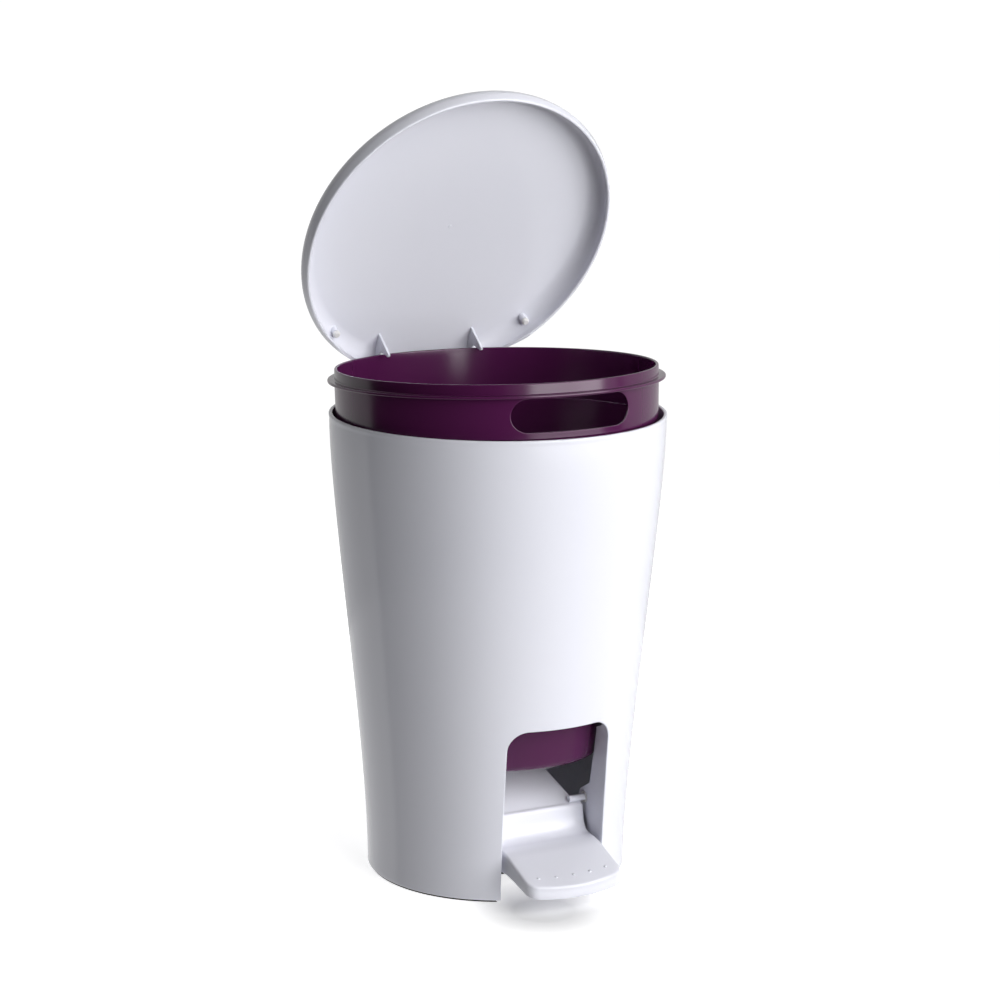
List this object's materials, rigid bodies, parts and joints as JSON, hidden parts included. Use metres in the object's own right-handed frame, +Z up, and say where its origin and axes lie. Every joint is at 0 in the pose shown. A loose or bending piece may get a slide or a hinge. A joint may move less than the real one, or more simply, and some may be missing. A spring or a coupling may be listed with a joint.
{
  "type": "pedal trash can",
  "caption": "Free-standing round pedal bin: tapering white body, lift-out purple bucket with a hand hole, hinged domed lid and a foot pedal in an arched front opening.",
  "frame": {"origin": "on the floor, on the axis of the round body", "axes": "+Z up, the pedal faces -Y, the lid hinge is at +Y, +X to the right seen from the front"},
  "size_m": [0.2068, 0.2172, 0.4789],
  "materials": {
    "white_plastic": "glossy white moulded plastic",
    "purple_plastic": "glossy dark purple moulded plastic",
    "nylon": "natural nylon",
    "rubber": "black rubber",
    "steel": "plated steel"
  },
  "bodies": {
    "body": {"body_shell": "white_plastic", "foot_front_left": "rubber", "foot_front_right": "rubber", "foot_rear_left": "rubber", "foot_rear_right": "rubber", "hinge_bracket": "white_plastic", "bracket_screw_left": "steel", "bracket_screw_right": "steel", "hinge_pin": "steel", "hinge_pin_cap_left": "white_plastic", "hinge_pin_cap_right": "white_plastic", "hinge_washer_left": "nylon", "hinge_washer_right": "nylon", "axle_bush_left": "nylon", "axle_bush_right": "nylon"},
    "lid": {"lid": "white_plastic", "lid_buffer_left": "nylon", "lid_buffer_right": "nylon"},
    "bucket": {"bucket": "purple_plastic"},
    "pedal": {"pedal": "white_plastic"}
  },
  "joints": [
    {"name": "pedal_hinge", "type": "hinge", "parent": "body", "child": "pedal", "pos_m": [0, -0.051, 0.0502], "axis": [-1, 0, 0], "range_deg": [0, 23]},
    {"name": "bucket_lift", "type": "hinge", "parent": "body", "child": "bucket", "pos_m": [0, 0.427, 0.2862], "axis": [1, 0, 0], "range_deg": [0, 2.65]},
    {"name": "lid_hinge", "type": "hinge", "parent": "body", "child": "lid", "pos_m": [0, 0.103, 0.2951], "axis": [1, 0, 0], "range_deg": [0, 62.2]}
  ],
  "couplings": [
    {"joint": "bucket_lift", "follows": "pedal_hinge", "ratio": 0.115},
    {"joint": "lid_hinge", "follows": "pedal_hinge", "ratio": 2.7}
  ]
}
